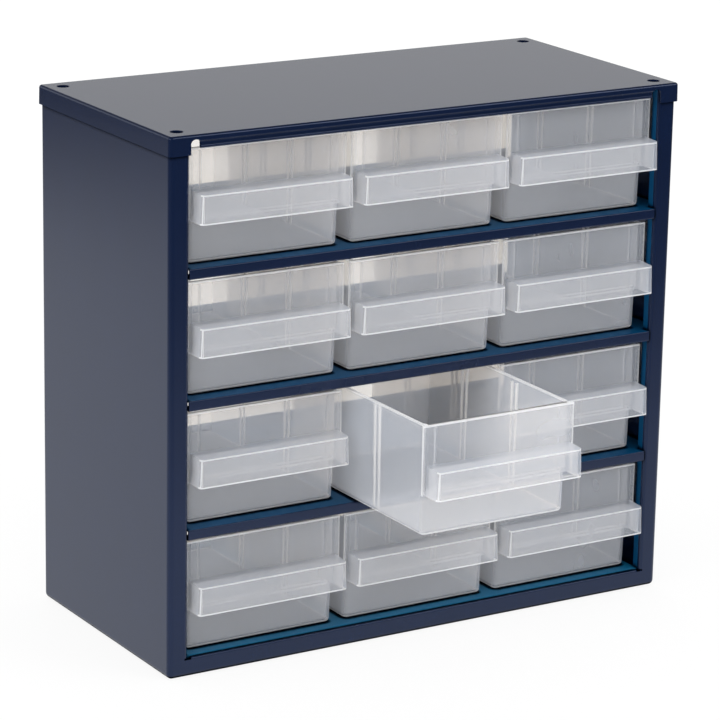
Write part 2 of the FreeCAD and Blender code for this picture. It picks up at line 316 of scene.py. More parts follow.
    @staticmethod
    def apply(piece: Piece, kind: str, **settings: object) -> None:
        """Add a modifier, set it up and apply it.

        Args:
            piece: The piece that it changes.
            kind: The modifier's type.
            settings: Its properties by name.
        """
        Bench.focus(piece)
        bpy.ops.object.modifier_add(type=kind)
        modifier = piece.modifiers[-1]
        for name, value in settings.items():
            setattr(modifier, name, value)
        bpy.ops.object.modifier_apply(modifier=modifier.name)

    @staticmethod
    def combine(piece: Piece, tool: Piece, operation: str, creased: bool = False) -> None:
        """Weld a tool on or cut it away; a folded sheet is creased, since its tight bends touch."""
        Bench.apply(piece, "BOOLEAN", object=tool, operation=operation, solver="EXACT", use_self=creased)
        bpy.data.objects.remove(tool)

    @staticmethod
    def copy(piece: Piece, name: str, move: Vector) -> Piece:
        """Copy a piece with a mesh of its own and set the copy down elsewhere.

        Args:
            piece: The piece to copy.
            name: The copy's name.
            move: How far the copy stands from the piece.

        Returns:
            The copy, with its place in its mesh.
        """
        Bench.focus(piece)
        bpy.ops.object.duplicate(linked=False)
        twin = bpy.context.object
        twin.name = name
        twin.data.name = name
        bpy.ops.transform.translate(value=move)
        bpy.ops.object.transform_apply(location=True, rotation=True, scale=True)
        return twin

    @staticmethod
    def ease_rims(piece: Piece, width: float, angle: float) -> None:
        """Ease every edge that is sharper than an angle."""
        Bench.apply(piece, "BEVEL", width=width, segments=2, limit_method="ANGLE", angle_limit=angle,
                    harden_normals=False)

    @staticmethod
    def coat(piece: Piece, finish: Material, other: Material, test: Test) -> None:
        """Give a piece one finish, and the faces that pass a test another.

        Args:
            piece: The piece to finish.
            finish: The finish of most of it.
            other: The finish of the faces that pass.
            test: Picks those faces.
        """
        piece.data.materials.clear()
        piece.data.materials.append(finish)
        piece.data.materials.append(other)
        with Bench.editing(piece, Element.FACE):
            Bench.pick(piece, Element.FACE, test)
            piece.active_material_index = 1
            bpy.ops.object.material_slot_assign()

    @staticmethod
    def smooth(piece: Piece, angle: float = math.radians(32)) -> None:
        """Shade a piece smooth over its bends, with its large faces kept flat.

        Args:
            piece: The piece to shade.
            angle: The sharpest bend that is shaded smooth.
        """
        Bench.focus(piece)
        bpy.ops.object.shade_smooth_by_angle(angle=angle)
        Bench.apply(piece, "WEIGHTED_NORMAL", keep_sharp=True, weight=100)


class NodeBoard:
    """A material's node tree and the few moves that build it."""

    def __init__(self, name: str) -> None:
        """Start a material with an empty tree.

        Args:
            name: What the material is called.
        """
        self.material: Material = bpy.data.materials.new(name)
        self.material.use_nodes = True
        self.tree = self.material.node_tree
        self.tree.nodes.clear()

    @classmethod
    def on(cls, tree: bpy.types.NodeTree) -> "NodeBoard":
        """Take over a tree that isn't a material's, emptied.

        Args:
            tree: The tree to take over.

        Returns:
            A board without a material.
        """
        board = cls.__new__(cls)
        board.tree = tree
        tree.nodes.clear()
        return board

    def add(self, kind: str, settings: dict[str, object] | None = None,
            **inputs: object) -> bpy.types.Node:
        """Add a node.

        Args:
            kind: The node's type.
            settings: Its properties by name.
            inputs: A value or another node's output for each socket, underscores standing for spaces.

        Returns:
            The node.
        """
        node = self.tree.nodes.new(kind)
        for name, value in (settings or {}).items():
            setattr(node, name, value)
        for name, value in inputs.items():
            key = int(name[1:]) if name[0] == "_" else name.replace("_", " ")
            if isinstance(value, bpy.types.NodeSocket):
                self.tree.links.new(value, node.inputs[key])
            else:
                node.inputs[key].default_value = value
        return node

    def place(self) -> bpy.types.NodeSocket:
        """Give the piece's own coordinates."""
        return self.add("ShaderNodeTexCoord").outputs["Object"]

    def finish(self, shader: bpy.types.NodeSocket) -> Material:
        """Send a shader to the surface and give the material."""
        self.add("ShaderNodeOutputMaterial", Surface=shader)
        return self.material


@dataclass(frozen=True)
class PowderCoat:
    """Powder coat with a fine orange peel, by default the semi-gloss navy of the outside."""

    name: str = "navy_powder_coat"
    deep: Colour = (0.0014, 0.0062, 0.026)
    bright: Colour = (0.0018, 0.0078, 0.033)
    roughness: float = 0.25
    roughness_drift: float = 0.03
    ior: float = 1.5
    gloss_tint: Colour = (0.64, 0.74, 1.0)
    peel_scale: float = 900.0
    grain_scale: float = 2600.0
    grain_share: float = 0.35
    cloud_scale: float = 45.0
    peel_depth: float = 0.05 * MM
    peel_strength: float = 0.2
    # Painted shade: how far the ambient occlusion reaches, the occlusion over which it fades in, its
    # samples and the near-black it paints into creases and under overhangs.
    painted_shade_reach: float = 2.4 * MM
    painted_shade_open: Span = (0.76, 0.92)
    painted_shade_samples: int = 6
    painted_shade_colour: Colour = (0.0004, 0.0009, 0.0026)

    def build(self) -> Material:
        """Build the material.

        Returns:
            Paint whose colour drifts a little, whose gloss breaks up over the peel, and which is
            duller and darker within a couple of millimetres of a crease.
        """
        board = NodeBoard(self.name)
        place = board.place()
        cloud = board.add("ShaderNodeTexNoise", Vector=place, Scale=self.cloud_scale, Detail=3.0)
        peel = board.add("ShaderNodeTexNoise", Vector=place, Scale=self.peel_scale, Detail=2.0)
        grain = board.add("ShaderNodeTexNoise", Vector=place, Scale=self.grain_scale, Detail=1.0)
        colour = board.add("ShaderNodeMix", {"data_type": "RGBA"}, _0=cloud.outputs[0],
                           _6=(*self.deep, 1.0), _7=(*self.bright, 1.0))
        gloss = board.add("ShaderNodeMapRange", Value=grain.outputs[0],
                          To_Min=self.roughness - self.roughness_drift,
                          To_Max=self.roughness + self.roughness_drift)
        relief = board.add("ShaderNodeMath", {"operation": "MULTIPLY_ADD"}, _0=grain.outputs[0],
                           _1=self.grain_share, _2=peel.outputs[0])
        bump = board.add("ShaderNodeBump", Strength=self.peel_strength, Distance=self.peel_depth,
                         Height=relief.outputs[0])
        paint = board.add("ShaderNodeBsdfPrincipled", Base_Color=colour.outputs[2],
                          Roughness=gloss.outputs[0], IOR=self.ior, Normal=bump.outputs[0],
                          Specular_Tint=(*self.gloss_tint, 1.0))
        # Painted shade: the paint is mixed towards a near-black diffuse where ambient occlusion finds a
        # nearby surface, darkening creases and the strip under overhangs.
        painted_shade_bsdf = board.add("ShaderNodeBsdfDiffuse", Color=(*self.painted_shade_colour, 1.0))
        room = board.add("ShaderNodeAmbientOcclusion", {"samples": self.painted_shade_samples},
                         Distance=self.painted_shade_reach)
        open_share = board.add("ShaderNodeMapRange", Value=room.outputs["AO"],
                               From_Min=self.painted_shade_open[0], From_Max=self.painted_shade_open[1])
        coat = board.add("ShaderNodeMixShader", _0=open_share.outputs[0], _1=painted_shade_bsdf.outputs[0],
                         _2=paint.outputs[0])
        return board.finish(coat.outputs[0])


@dataclass(frozen=True)
class MilkyPlastic:
    """Milky moulded plastic, thinner or thicker to look through."""

    name: str
    haze: float
    tint: Colour = (0.83, 0.89, 1.0)
    seen_through: Colour = (1.0, 0.972, 0.93)
    glow: float = 0.45
    slant_haze: float = 0.22
    slant: float = 0.35
    roughness: float = 0.3
    ior: float = 1.49
    cloud_scale: float = 26.0
    drift: float = 0.04

    def build(self) -> Material:
        """Build the material.

        Returns:
            Plastic that lets part of the view through, and more of it where it is seen square on.
        """
        board = NodeBoard(self.name)
        place = board.place()
        cloud = board.add("ShaderNodeTexNoise", Vector=place, Scale=self.cloud_scale, Detail=2.0)
        body = board.add("ShaderNodeBsdfPrincipled", Base_Color=(*self.tint, 1.0),
                         Roughness=self.roughness, IOR=self.ior)
        glow = board.add("ShaderNodeBsdfTranslucent", Color=(*self.tint, 1.0))
        milk = board.add("ShaderNodeMixShader", _0=self.glow, _1=body.outputs[0], _2=glow.outputs[0])
        clear = board.add("ShaderNodeBsdfTransparent", Color=(*self.seen_through, 1.0))
        facing = board.add("ShaderNodeLayerWeight", Blend=self.slant).outputs["Facing"]
        patchy = board.add("ShaderNodeMapRange", Value=cloud.outputs[0], To_Min=self.haze - self.drift,
                           To_Max=self.haze + self.drift)
        haze = board.add("ShaderNodeMath", {"operation": "MULTIPLY_ADD", "use_clamp": True}, _0=facing,
                         _1=(1.0 - self.haze) * self.slant_haze, _2=patchy.outputs[0])
        mixed = board.add("ShaderNodeMixShader", _0=haze.outputs[0], _1=clear.outputs[0],
                          _2=milk.outputs[0])
        return board.finish(mixed.outputs[0])


@dataclass
class FoldedSheet:
    """Sizes and moves common to every piece folded from the same painted sheet."""

    paint: Material
    painted_lit_inside_paint: Material
    gauge: float = 0.8 * MM
    hem_depth: float = 3.0 * MM
    hem_round: float = 0.85 * MM
    hem_gap: float = 0.15 * MM
    rim_ease: float = 0.14 * MM
    rim_angle: float = math.radians(55)
    stile_width: float = 11.0 * MM

    @staticmethod
    def in_front(at: Vector, facing: Vector) -> bool:
        """Tell whether a face looks to the front."""
        return facing.y < -MOSTLY

    def thicken(self, sheet: Piece) -> None:
        """Give the sheet its gauge, inwards from the outer face."""
        Bench.apply(sheet, "SOLIDIFY", thickness=self.gauge, offset=-1.0, use_even_offset=True,
                    use_quality_normals=True)

    def hem_moves(self, up: float) -> tuple[Vector, Vector]:
        """Give the two flanges of a hem that is folded behind its edge, up or down."""
        return Axis.Y.along(2 * self.gauge + self.hem_gap), Axis.Z.along(up * self.hem_depth)

    def dress(self, sheet: Piece, node: str, painted_lit_inside: Test, body: str = "case") -> Piece:
        """Ease the rims, paint the sheet and stand it for its node.

        Args:
            sheet: The finished sheet.
            node: The frame's node that it stands for.
            painted_lit_inside: Picks the faces inside the case. Unless they look to the back, they get
                the lighter, bluer paint, which is painted light for the light that the milky drawers let
                in.
            body: The body that it rides on.

        Returns:
            The dressed sheet.
        """
        Bench.ease_rims(sheet, self.rim_ease, self.rim_angle)
        Bench.smooth(sheet)
        # Painted light: faces inside the case get a lighter, bluer copy of the paint, for the light that
        # the milky drawers let in.
        Bench.coat(sheet, self.paint, self.painted_lit_inside_paint,
                   lambda at, facing: painted_lit_inside(at, facing) and facing.y < SQUARELY)
        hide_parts(node)
        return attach(sheet, body)


@dataclass
class CabinetCase(FoldedSheet):
    """The case: base, sides, stiles, rail and back flanges in one folded sheet."""

    bend: float = 3.0 * MM
    stile_return: float = 6.0 * MM
    stile_bend: float = 2.0 * MM
    rail_height: float = 10.4 * MM
    relief: float = 1.0 * MM
    back_flange: float = 8.0 * MM

    def model(self) -> Piece:
        """Model the case from a block the size of its node.

        Returns:
            The dressed case.
        """
        low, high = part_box("cabinet_shell")
        case = Bench.block("folded_case", low, high)
        Bench.remove_faces(case, lambda at, facing: facing.z > MOSTLY)
        self.open_front(case, low, high)
        self.open_back(case, low, high)
        self.bend_corners(case, low, high)
        self.thicken(case)
        inner = high.x - self.gauge - NEAR
        return self.dress(case, "cabinet_shell", lambda at, facing: abs(at.x) < inner
                          and at.y > low.y + self.stile_bend and at.z > low.z + self.gauge - NEAR)

    def open_front(self, case: Piece, low: Vector, high: Vector) -> None:
        """Cut the window, fold the stiles' returns and hem the rail.

        Args:
            case: The case's block.
            low: Its lowest corner.
            high: Its highest corner.
        """
        window = high.x - self.stile_width
        rail = low.z + self.rail_height
        slit = (window - self.stile_bend, window + self.stile_bend)
        slit_foot = rail - self.relief

        def on_stile(at: Vector, way: Vector) -> bool:
            """Tell whether an edge is a stile's inner edge."""
            on_window = meets(at.y, low.y) and meets(abs(at.x), window)
            return on_window and at.z > rail and abs(way.z) > MOSTLY

        Bench.slice_faces(case, self.in_front, Axis.X, -slit[1], -window, -slit[0], slit[0], window,
                          slit[1])
        Bench.slice_faces(case, self.in_front, Axis.Z, slit_foot, rail)
        Bench.remove_faces(case, lambda at, facing: self.in_front(at, facing) and abs(at.x) < window
                           and at.z > rail)
        Bench.remove_faces(case, lambda at, facing: self.in_front(at, facing)
                           and slit[0] < abs(at.x) < slit[1] and slit_foot < at.z < rail)
        Bench.fold(case, on_stile, Axis.Y.along(self.stile_return))
        Bench.round_edges(case, on_stile, self.stile_bend)
        Bench.fold(case, lambda at, way: meets(at.y, low.y) and abs(at.x) < slit[0]
                   and meets(at.z, rail) and abs(way.x) > MOSTLY, *self.hem_moves(-1))
        Bench.round_edges(case, lambda at, way: meets(at.z, rail) and abs(at.x) < slit[0]
                          and abs(way.x) > MOSTLY, self.hem_round, steps=4)

    def open_back(self, case: Piece, low: Vector, high: Vector) -> None:
        """Cut the back away to its flanges.

        Args:
            case: The case's block.
            low: Its lowest corner.
            high: Its highest corner.
        """
        view = high.x - self.back_flange
        sill = low.z + self.back_flange

        def at_back(at: Vector, facing: Vector) -> bool:
            """Tell whether a face is on the back."""
            return facing.y > MOSTLY and at.y > high.y - NEAR

        Bench.slice_faces(case, at_back, Axis.X, -view, view)
        Bench.slice_faces(case, at_back, Axis.Z, sill)
        Bench.remove_faces(case, lambda at, facing: at_back(at, facing) and abs(at.x) < view
                           and at.z > sill)

    def bend_corners(self, case: Piece, low: Vector, high: Vector) -> None:
        """Round the four upright bends and the bends around the base.

        Args:
            case: The case's open block.
            low: Its lowest corner.
            high: Its highest corner.
        """
        def on_side(at: Vector) -> bool:
            """Tell whether a place is on a side."""
            return meets(abs(at.x), high.x)

        def on_end(at: Vector) -> bool:
            """Tell whether a place is on the front or back."""
            return meets(at.y, low.y, high.y)

        Bench.round_edges(case, lambda at, way: (on_side(at) and on_end(at) and abs(way.z) > MOSTLY)
                          or (meets(at.z, low.z) and (on_side(at) or on_end(at))
                              and abs(way.z) < MOSTLY), self.bend, steps=6)


@dataclass
class PressedLid(FoldedSheet):
    """The lid: a skirted top with two notches, a beaded lip and four locating holes."""

    corner: float = 2.0 * MM
    bend: float = 1.4 * MM
    splay: float = 0.2 * MM
    notch_width: float = 5.5 * MM
    notch_depth: float = 2.08 * MM
    notch_roof: float = 2.3 * MM
    notch_round: float = 2.5 * MM
    lip_drop: float = 7.0 * MM
    lip_band: float = 3.0 * MM
    lip_bead: float = 1.3 * MM
    lip_step: float = 0.4 * MM
    step_slope: float = 0.6 * MM
    hole_inset: float = 9.5 * MM
    hole_setback: float = 10.5 * MM
    hole_radius: float = 3.2 * MM
    hole_dish: float = 0.3 * MM
    collar_depth: float = 2.8 * MM

    def model(self) -> Piece:
        """Model the lid from a block the size of its node.

        Returns:
            The dressed lid.
        """
        low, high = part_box("lid")
        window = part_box("cabinet_shell")[1].x - self.stile_width
        inner = window - self.notch_width
        lid = Bench.block("pressed_lid", low, high)
        Bench.remove_faces(lid, lambda at, facing: facing.z < -MOSTLY)
        for side in (-1, 1):
            Bench.shift(lid, lambda at, facing: at.x * side > 0 and meets(at.z, high.z),
                        Axis.X.along(-side * self.splay))
        self.shape_lip(lid, low, high, (inner + window) / 2)
        self.bend_edges(lid, low, high)
        self.thicken(lid)
        self.cut_notches(lid, low, high, window, inner)
        self.pierce(lid, low, high)
        return self.dress(lid, "lid", lambda at, facing: False)

    def shape_lip(self, lid: Piece, low: Vector, high: Vector, end: float) -> None:
        """Shorten the lip as far as the middle of the notches, step its middle back and hem its foot.

        Args:
            lid: The lid's open block.
            low: Its lowest corner.
            high: Its highest corner.
            end: Where the lip ends on either side.
        """
        foot = high.z - self.lip_drop
        step_low = foot + self.lip_bead
        step_high = high.z - self.lip_band

        def on_lip(at: Vector) -> bool:
            """Tell whether a place is on the lip between the notches."""
            return abs(at.x) < end + NEAR and meets(at.y, low.y)

        flat = end + self.notch_width / 2 + self.lip_step
        Bench.slice_faces(lid, self.in_front, Axis.X, -flat, -end, end, flat)
        Bench.slice_faces(lid, self.in_front, Axis.Z, foot, step_low, step_low + self.step_slope,
                          step_high - self.step_slope, step_high)
        Bench.remove_faces(lid, lambda at, facing: self.in_front(at, facing) and abs(at.x) < end
                           and at.z < foot)
        Bench.fold(lid, lambda at, way: on_lip(at) and meets(at.z, foot) and abs(way.x) > MOSTLY
                   and abs(at.x) < end / 2, *self.hem_moves(1))
        Bench.round_edges(lid, lambda at, way: meets(at.z, foot) and abs(way.x) > MOSTLY
                          and abs(at.x) < end / 2, self.hem_round, steps=4)
        Bench.shift(lid, lambda at, facing: on_lip(at) and step_low + NEAR < at.z < step_high - NEAR,
                    Axis.Y.along(self.lip_step))

    def bend_edges(self, lid: Piece, low: Vector, high: Vector) -> None:
        """Round the upright corners, then the bends around the top.

        Args:
            lid: The lid's open block.
            low: Its lowest corner.
            high: Its highest corner.
        """
        Bench.round_edges(lid, lambda at, way: abs(at.x) > high.x - self.splay
                          and meets(at.y, low.y, high.y) and abs(way.z) > MOSTLY, self.corner)
        reach = self.corner + self.splay + NEAR
        Bench.round_edges(lid, lambda at, way: meets(at.z, high.z)
                          and (abs(at.x) > high.x - reach or abs(at.y) > high.y - reach), self.bend)

    def cut_notches(self, lid: Piece, low: Vector, high: Vector, window: float, inner: float) -> None:
        """Cut a round-topped notch on each side of the lip.

        Args:
            lid: The lid's sheet.
            low: Its lowest corner.
            high: Its highest corner.
            window: Where a notch ends next to the stile.
            inner: Where it ends next to the lip.
        """
        roof = high.z - self.notch_roof
        for side in (-1, 1):
            cutter = Bench.sided_block("notch", side, (inner, low.y - self.corner, low.z - self.corner),
                                       (window, low.y + self.notch_depth, roof))
            Bench.round_edges(cutter, lambda at, way: meets(at.z, roof) and abs(way.y) > MOSTLY,
                              self.notch_round, steps=6)
            Bench.combine(lid, cutter, "DIFFERENCE", creased=True)

    def pierce(self, lid: Piece, low: Vector, high: Vector) -> None:
        """Draw the four holes down into collars, each with a shallow dish around it.

        Args:
            lid: The lid's sheet.
            low: Its lowest corner.
            high: Its highest corner.
        """
        foot = high.z - self.collar_depth
        top = high.z + 2 * self.gauge
        flare = 1 + (self.hole_dish + 2 * self.gauge) / self.hole_radius
        for across in (low.x + self.hole_inset, high.x - self.hole_inset):
            for along in (low.y + self.hole_setback, high.y - self.hole_setback):
                skin = high.z - self.gauge / 2
                collar = Bench.drum("collar", Vector((across, along, (foot + skin) / 2)),
                                    self.hole_radius + self.gauge, skin - foot)
                Bench.combine(lid, collar, "UNION", creased=True)
                hole = Bench.drum("hole", Vector((across, along, high.z - self.gauge)), self.hole_radius,
                                  2 * (top - high.z + self.gauge))
                Bench.slice_faces(hole, lambda at, facing: abs(facing.z) < MOSTLY, Axis.Z,
                                  high.z - self.hole_dish)
                Bench.spread(hole, lambda at, facing: meets(at.z, top), Vector((flare, flare, 1)),
                             Vector((across, along, top)))
                Bench.combine(lid, hole, "DIFFERENCE", creased=True)


@dataclass
class FloorPanel(FoldedSheet):
    """The floor panel: a tray that stands on the base behind the rail."""

    front_drop: float = 7.0 * MM
    back_upturn: float = 5.0 * MM
    leg_inset: float = 3.8 * MM
    bend: float = 0.7 * MM

    def model(self) -> Piece:
        """Model the floor panel from a block the size of its node.

        Returns:
            The dressed panel.
        """
        low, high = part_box("floor_panel")
        level = high.z - self.back_upturn
        panel = Bench.block("floor_tray", low, (high.x, high.y, level))
        Bench.remove_faces(panel, lambda at, facing: facing.z < -MOSTLY or facing.y > MOSTLY)
        Bench.slice_faces(panel, self.in_front, Axis.Z, level - self.front_drop)
        Bench.remove_faces(panel, lambda at, facing: self.in_front(at, facing)
                           and at.z < level - self.front_drop)
        Bench.slice_faces(panel, lambda at, facing: abs(facing.x) > MOSTLY, Axis.Y,
                          low.y + self.leg_inset, high.y - self.leg_inset)
        Bench.remove_faces(panel, lambda at, facing: abs(facing.x) > MOSTLY
                           and not low.y + self.leg_inset < at.y < high.y - self.leg_inset)
        Bench.fold(panel, lambda at, way: meets(at.y, high.y) and meets(at.z, level)
                   and abs(way.x) > MOSTLY, Axis.Z.along(self.back_upturn))
        Bench.round_edges(panel, lambda at, way: meets(at.y, low.y) and meets(at.z, level)
                          and abs(way.x) > MOSTLY, self.bend, steps=4)
        self.thicken(panel)
        return self.dress(panel, "floor_panel", lambda at, facing: True)


@dataclass
class Shelf(FoldedSheet):
    """A shelf: a hemmed front lip, sides turned down against the case and a low back upturn."""

    lip: float = 5.6 * MM
    back_upturn: float = 5.0 * MM
    shoulder: float = 6.3 * MM
    case_inset: float = 10.22 * MM
    bend: float = 0.7 * MM

    def model(self, node: str) -> Piece:
        """Model a shelf from a block the size of its node.

        Args:
            node: The frame's node that the shelf stands for.

        Returns:
            The dressed shelf.
        """
        low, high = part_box(node)
        level = high.z - self.back_upturn
        reach = high.x - self.case_inset
        step = low.y + self.shoulder
        shelf = Bench.block("folded_" + node, low, (high.x, high.y, level))
        Bench.remove_faces(shelf, lambda at, facing: facing.z < -MOSTLY or facing.y > MOSTLY)
        Bench.slice_faces(shelf, lambda at, facing: abs(facing.x) < MOSTLY, Axis.X, -reach, reach)
        Bench.slice_faces(shelf, lambda at, facing: facing.y > -MOSTLY, Axis.Y, step)
        Bench.remove_faces(shelf, lambda at, facing: at.y < step and abs(at.x) > reach)
        Bench.slice_faces(shelf, self.in_front, Axis.Z, level - self.lip)
        Bench.remove_faces(shelf, lambda at, facing: self.in_front(at, facing)
                           and at.z < level - self.lip)
        Bench.fold(shelf, lambda at, way: meets(at.y, low.y) and at.z < level - self.lip / 2
                   and abs(way.x) > MOSTLY, *self.hem_moves(1))
        Bench.fold(shelf, lambda at, way: meets(at.y, high.y) and meets(at.z, level)
                   and abs(way.x) > MOSTLY and abs(at.x) < reach, Axis.Z.along(self.back_upturn))
        Bench.round_edges(shelf, lambda at, way: abs(way.x) > MOSTLY and meets(at.y, low.y)
                          and meets(at.z, level), self.bend, steps=4)
        Bench.round_edges(shelf, lambda at, way: abs(way.x) > MOSTLY and at.y < step
                          and meets(at.z, level - self.lip), self.hem_round, steps=4)
        self.thicken(shelf)
        return self.dress(shelf, node, lambda at, facing: at.y > low.y + 2 * self.gauge
                          or facing.z > UPRIGHT)


@dataclass
class Drawer:
    """A moulded drawer: a drafted tub, a wider front panel and a hooded handle.

    It is modelled with its front panel at y = 0 and its underside at z = 0.
    """

    plastic: Material
    thick_plastic_with_painted_highlight: Material
    height: float = 59.1 * MM
    length: float = 134.5 * MM
    panel_half: float = 45.3 * MM
    wing: float = 1.3 * MM
    draft: float = math.radians(1.0)
    wall: float = 1.3 * MM
    corner: float = 3.0 * MM
    foot_round: float = 2.2 * MM
    front_step: float = 3.0 * MM
    overrun: float = 2.0 * MM
    hood_reach: float = 11.8 * MM
    hood_foot: float = 22.6 * MM
    hood_height: float = 15.8 * MM
    hood_slope: float = 0.7 * MM
    hood_inset: float = 0.9 * MM
    hood_flare: float = 1.2 * MM
    hood_corner: float = 2.0 * MM
    rib_thick: float = 0.9 * MM
    rib_reach: float = 1.2 * MM
    rib_gap: float = 3.4 * MM
    rib_drop: float = 2.0 * MM
    rib_first: float = 47.0 * MM
    rib_pitch: float = 47.0 * MM
    rib_pairs: int = 2
    card_slot: float = 4.8 * MM
    card_rib: float = 1.6 * MM
    stop_width: float = 24.0 * MM
    stop_height: float = 6.0 * MM
    edge_ease: float = 0.22 * MM
    # The bands and the turns of the foot and corners that take the whiter plastic, which is partly
    # painted highlight along the edges.
    edge_angle: float = math.radians(50)
    edge_glow: float = 0.9 * MM
    hood_glow: float = 0.75 * MM
    foot_glow: float = 1.54 * MM
    foot_turn: Span = (-0.95, -0.2)
    corner_turn: float = 0.62

    @property
    def lean(self) -> float:
        """Give how far a drafted wall leans out for each metre up."""
        return math.tan(self.draft)

    @property
    def rim_half(self) -> float:
        """Give half the tub's width at its rim, behind the wings of the front panel."""
        return self.panel_half - self.wing

    @property
    def hood_top(self) -> float:
        """Give the height of the hood's front edge."""
        return self.hood_foot + self.hood_height - self.hood_slope

    def drafted(self, name: str, inset: float, floor: float, rounds: tuple[float, float]) -> Piece:
        """Model the tub's outer form, or the same form drawn in by a wall.

        Args:
            name: What the form is called.
            inset: How far it is drawn in on every side.
            floor: The height of its underside.
            rounds: The radius of its upright corners and of its foot.

        Returns:
            The form, which reaches above the rim where it is drawn in.
        """
        rim = self.height + (self.overrun if inset else 0.0)
        half = self.rim_half - self.height * self.lean
        front = self.front_step + self.hood_foot * self.lean
        back = self.length - self.height * self.lean
        form = Bench.block(name, (inset - half, front + inset, floor), (half - inset, back - inset, rim))
        grow = (rim - floor) * self.lean
        start = floor * self.lean
        walls = ((0, Axis.X, inset - half, half - inset), (1, Axis.Y, front + inset, back - inset))
        for index, axis, low, high in walls:
            for place, sign in ((low, -1), (high, 1)):
                Bench.shift(form, lambda at, facing: meets(at[index], place) and meets(at.z, rim),
                            axis.along(sign * (grow + start)))
                Bench.shift(form, lambda at, facing: meets(at[index], place) and meets(at.z, floor),
                            axis.along(sign * start))
        Bench.round_edges(form, lambda at, way: abs(way.z) > UPRIGHT, rounds[0], steps=6)
        Bench.round_edges(form, lambda at, way: meets(at.z, floor) and abs(way.z) < HARDLY, rounds[1])
        return form

    def mould_tub(self) -> Piece:
        """Mould the tub with its wider front panel, still solid.

        Returns:
            The tub and its panel in one.
        """
        half = self.rim_half - self.height * self.lean / 2
        tub = self.drafted("drawer_mould", 0.0, 0.0, (self.corner, self.foot_round))
        link = Bench.block("link", (-half, 0, self.hood_foot),
                           (half, self.front_step + self.corner, self.height))
        Bench.combine(tub, link, "UNION")
        panel = Bench.block("panel", (-self.panel_half, 0, self.hood_foot),
                            (self.panel_half, self.wall, self.height))
        Bench.combine(tub, panel, "UNION")
        return tub

    def mould_hood(self) -> Piece:
        """Mould the handle, still solid, with a sloping top and flared ends.

        Returns:
            The handle in its place on the panel.
        """
        half = self.rim_half - self.hood_inset
        top = self.hood_foot + self.hood_height
        hood = Bench.block("hood", (-half, -self.hood_reach, self.hood_foot), (half, self.wall / 2, top))
        Bench.shift(hood, lambda at, facing: at.y < 0 and at.z > top - NEAR,
                    Axis.Z.along(-self.hood_slope))
        for side in (-1, 1):
            Bench.shift(hood, lambda at, facing: at.x * side > 0 and at.z < self.hood_foot + NEAR,
                        Axis.X.along(side * self.hood_flare / 2))
        Bench.round_edges(hood, lambda at, way: at.y < -self.hood_reach + NEAR and abs(way.z) > MOSTLY,
                          self.hood_corner)
        return hood

    def hollow_out(self, drawer: Piece) -> None:
        """Cut the tub's inside, the room behind the panel and the finger room under the hood.

        Args:
            drawer: The solid tub with its handle.
        """
        inside = self.drafted("inside", self.wall, self.wall,
                              (self.corner - self.wall, self.foot_round - self.wall))
        Bench.combine(drawer, inside, "DIFFERENCE")
        half = self.rim_half - self.height * self.lean - self.wall
        room = Bench.block("room", (-half, self.wall, self.hood_foot + self.wall),
                           (half, self.front_step + self.corner, self.height + self.overrun))
        Bench.combine(drawer, room, "DIFFERENCE")
        reach = self.rim_half - self.hood_inset - self.wall
        fingers = Bench.block("fingers",
                              (-reach, self.wall - self.hood_reach, self.hood_foot - self.overrun),
                              (reach, 0, self.hood_top - self.wall))
        Bench.round_edges(fingers, lambda at, way: at.y < -self.overrun and abs(way.z) > MOSTLY,
                          self.hood_corner - self.wall, steps=3)
        Bench.combine(drawer, fingers, "DIFFERENCE")

    def add_ribs(self, drawer: Piece) -> None:
        """Weld on the paired divider ribs, the card ribs and the stop.

        Args:
            drawer: The hollow drawer.
        """
        root = self.rim_half - self.height * self.lean / 2
        rib_top = self.height - self.rib_drop
        for pair in range(self.rib_pairs):
            for member in range(2):
                near = self.rib_first + self.rib_pitch * pair + (self.rib_thick + self.rib_gap) * member
                for side in (-1, 1):
                    rib = Bench.sided_block(
                        "rib", side, (root - self.wall - self.rib_reach, near, self.wall / 2),
                        (root - self.wall / 2, near + self.rib_thick, rib_top))
                    Bench.combine(drawer, rib, "UNION")
        card = root - self.wall - self.card_slot
        for side in (-1, 1):
            rib = Bench.sided_block(
                "card_rib", side, (card - self.rib_thick, self.wall / 2, self.hood_foot + self.wall / 2),
                (card, self.wall + self.card_rib, rib_top))
            Bench.combine(drawer, rib, "UNION")
        stop = Bench.block("stop", (-self.stop_width / 2, self.length - self.wall,
                                    self.height - self.stop_height),
                           (self.stop_width / 2, self.length, self.height + self.stop_height))
        Bench.round_edges(stop, lambda at, way: at.z > self.height and abs(way.y) > MOSTLY,
                          self.overrun, steps=4)
        Bench.combine(drawer, stop, "UNION")

    def show_edges(self, drawer: Piece) -> None:
        """Give the rims and the walls seen end on the thicker, whiter plastic: partly the real look of
        plastic seen through its thickness, partly painted highlight, the bright lines where light
        gathers along the edges.

        Args:
            drawer: The drawer with all its forms.
        """
        Bench.slice_faces(drawer, self.around_hood, Axis.Z, self.hood_foot + self.hood_glow,
                          self.hood_top - self.hood_glow)
        Bench.slice_faces(drawer, lambda at, facing: abs(facing.z) < MOSTLY, Axis.Z,
                          self.height - self.edge_glow)
        Bench.coat(drawer, self.plastic, self.thick_plastic_with_painted_highlight, self.is_edge)

    def around_hood(self, at: Vector, facing: Vector) -> bool:
        """Tell whether a face is on the hood's front or its rounded corners."""
        return facing.y < -HARDLY and at.y < -self.hood_reach + self.hood_corner

